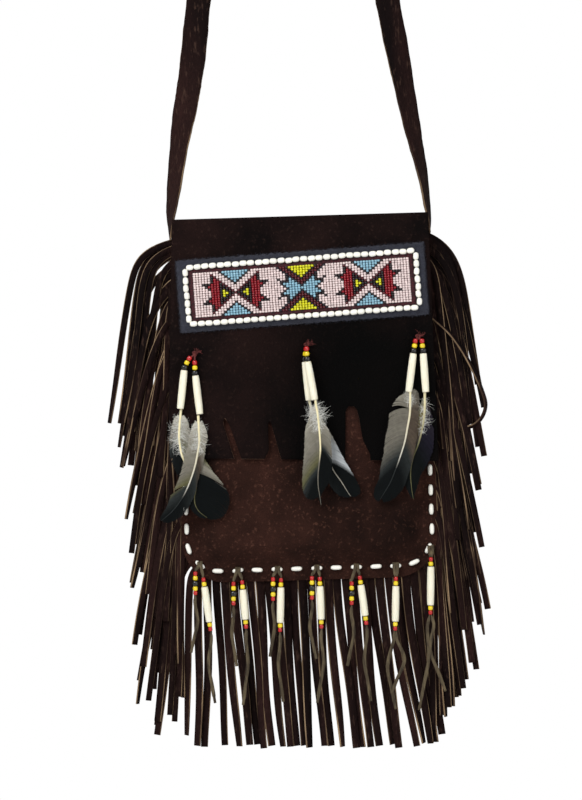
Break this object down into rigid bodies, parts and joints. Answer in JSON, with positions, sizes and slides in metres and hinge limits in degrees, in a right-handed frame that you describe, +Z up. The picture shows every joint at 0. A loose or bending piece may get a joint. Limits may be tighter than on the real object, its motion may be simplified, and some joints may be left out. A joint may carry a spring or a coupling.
{
  "type": "beaded medicine bag",
  "caption": "Dark suede shoulder bag with a beaded flap, bone pipe and feather drops, beaded seam tassels, long cut fringes and a strap.",
  "frame": {"origin": "inside of the shoulder strap's crown, where the bag hangs from a peg", "axes": "+Z up, the bag's beaded front faces -Y, +X to the viewer's right"},
  "size_m": [0.3613, 0.0403, 0.9119],
  "materials": {
    "suede": "brushed dark suede",
    "strap_suede": "dark suede band with raw edges",
    "fringe_suede": "cut suede strips",
    "felt": "grey-blue felt",
    "seed_beads": "woven seed beads in five colours",
    "white_beads": "ivory white rice beads",
    "pony_beads": "glossy red, yellow and black beads",
    "bone": "polished bone",
    "feather": "grey feather barbs with dark tips",
    "lace": "olive-brown leather lace"
  },
  "bodies": {
    "bag": {"back_panel": "suede", "front_panel": "suede", "seam_lace": "white_beads", "fringe_bottom": "fringe_suede", "fringe_left": "fringe_suede", "fringe_right": "fringe_suede", "shoulder_strap": "strap_suede"},
    "flap": {"flap": "suede", "felt_backing": "felt", "loom_beadwork": "seed_beads", "bead_frame": "white_beads"},
    "drop_left": {"drop_left_thong": "pony_beads", "drop_left_hairpipe_front": "bone", "drop_left_hairpipe_rear": "bone", "drop_left_feather_front": "feather", "drop_left_feather_rear": "feather"},
    "drop_centre": {"drop_centre_thong": "pony_beads", "drop_centre_hairpipe_front": "bone", "drop_centre_hairpipe_rear": "bone", "drop_centre_feather_front": "feather", "drop_centre_feather_rear": "feather"},
    "drop_right": {"drop_right_thong": "pony_beads", "drop_right_hairpipe_front": "bone", "drop_right_hairpipe_rear": "bone", "drop_right_feather_front": "feather", "drop_right_feather_rear": "feather"},
    "tassel_1": {"tassel_1_lace": "lace", "tassel_1_upper_beads": "pony_beads", "tassel_1_hairpipe": "bone", "tassel_1_lower_beads": "pony_beads", "tassel_1_short_beads": "pony_beads"},
    "tassel_2": {"tassel_2_lace": "lace", "tassel_2_upper_beads": "pony_beads", "tassel_2_hairpipe": "bone", "tassel_2_lower_beads": "pony_beads", "tassel_2_short_beads": "pony_beads"},
    "tassel_3": {"tassel_3_lace": "lace", "tassel_3_upper_beads": "pony_beads", "tassel_3_hairpipe": "bone", "tassel_3_lower_beads": "pony_beads", "tassel_3_short_beads": "pony_beads"},
    "tassel_4": {"tassel_4_lace": "lace", "tassel_4_upper_beads": "pony_beads", "tassel_4_hairpipe": "bone", "tassel_4_lower_beads": "pony_beads", "tassel_4_short_beads": "pony_beads"},
    "tassel_5": {"tassel_5_lace": "lace", "tassel_5_upper_beads": "pony_beads", "tassel_5_hairpipe": "bone", "tassel_5_lower_beads": "pony_beads", "tassel_5_short_beads": "pony_beads"},
    "tassel_6": {"tassel_6_lace": "lace", "tassel_6_upper_beads": "pony_beads", "tassel_6_hairpipe": "bone", "tassel_6_lower_beads": "pony_beads"},
    "tassel_7": {"tassel_7_lace": "lace", "tassel_7_upper_beads": "pony_beads", "tassel_7_hairpipe": "bone", "tassel_7_lower_beads": "pony_beads"}
  },
  "joints": [
    {"name": "flap_hinge", "type": "hinge", "parent": "bag", "child": "flap", "pos_m": [0.00743, -0.013, -0.4017], "axis": [-0.9996, 0, -0.0297], "range_deg": [0, 120]},
    {"name": "drop_left_swing", "type": "hinge", "parent": "flap", "child": "drop_left", "pos_m": [-0.08965, -0.0152, -0.52757], "axis": [-1, 0, 0], "range_deg": [0, 50]},
    {"name": "drop_centre_swing", "type": "hinge", "parent": "flap", "child": "drop_centre", "pos_m": [0.01346, -0.0152, -0.51982], "axis": [-1, 0, 0], "range_deg": [0, 50]},
    {"name": "drop_right_swing", "type": "hinge", "parent": "flap", "child": "drop_right", "pos_m": [0.11657, -0.0152, -0.51207], "axis": [-1, 0, 0], "range_deg": [0, 50]},
    {"name": "tassel_1_swing", "type": "hinge", "parent": "bag", "child": "tassel_1", "pos_m": [-0.08564, -0.0024, -0.72462], "axis": [-1, 0, 0], "range_deg": [0, 60]},
    {"name": "tassel_2_swing", "type": "hinge", "parent": "bag", "child": "tassel_2", "pos_m": [-0.05023, -0.0024, -0.73006], "axis": [-1, 0, 0], "range_deg": [0, 60]},
    {"name": "tassel_3_swing", "type": "hinge", "parent": "bag", "child": "tassel_3", "pos_m": [-0.01354, -0.0024, -0.72897], "axis": [-1, 0, 0], "range_deg": [0, 60]},
    {"name": "tassel_4_swing", "type": "hinge", "parent": "bag", "child": "tassel_4", "pos_m": [0.02314, -0.0024, -0.72788], "axis": [-1, 0, 0], "range_deg": [0, 60]},
    {"name": "tassel_5_swing", "type": "hinge", "parent": "bag", "child": "tassel_5", "pos_m": [0.05982, -0.0024, -0.72679], "axis": [-1, 0, 0], "range_deg": [0, 60]},
    {"name": "tassel_6_swing", "type": "hinge", "parent": "bag", "child": "tassel_6", "pos_m": [0.09651, -0.0024, -0.7257], "axis": [-1, 0, 0], "range_deg": [0, 60]},
    {"name": "tassel_7_swing", "type": "hinge", "parent": "bag", "child": "tassel_7", "pos_m": [0.12695, -0.0024, -0.7092], "axis": [-1, 0, 0], "range_deg": [0, 60]}
  ]
}
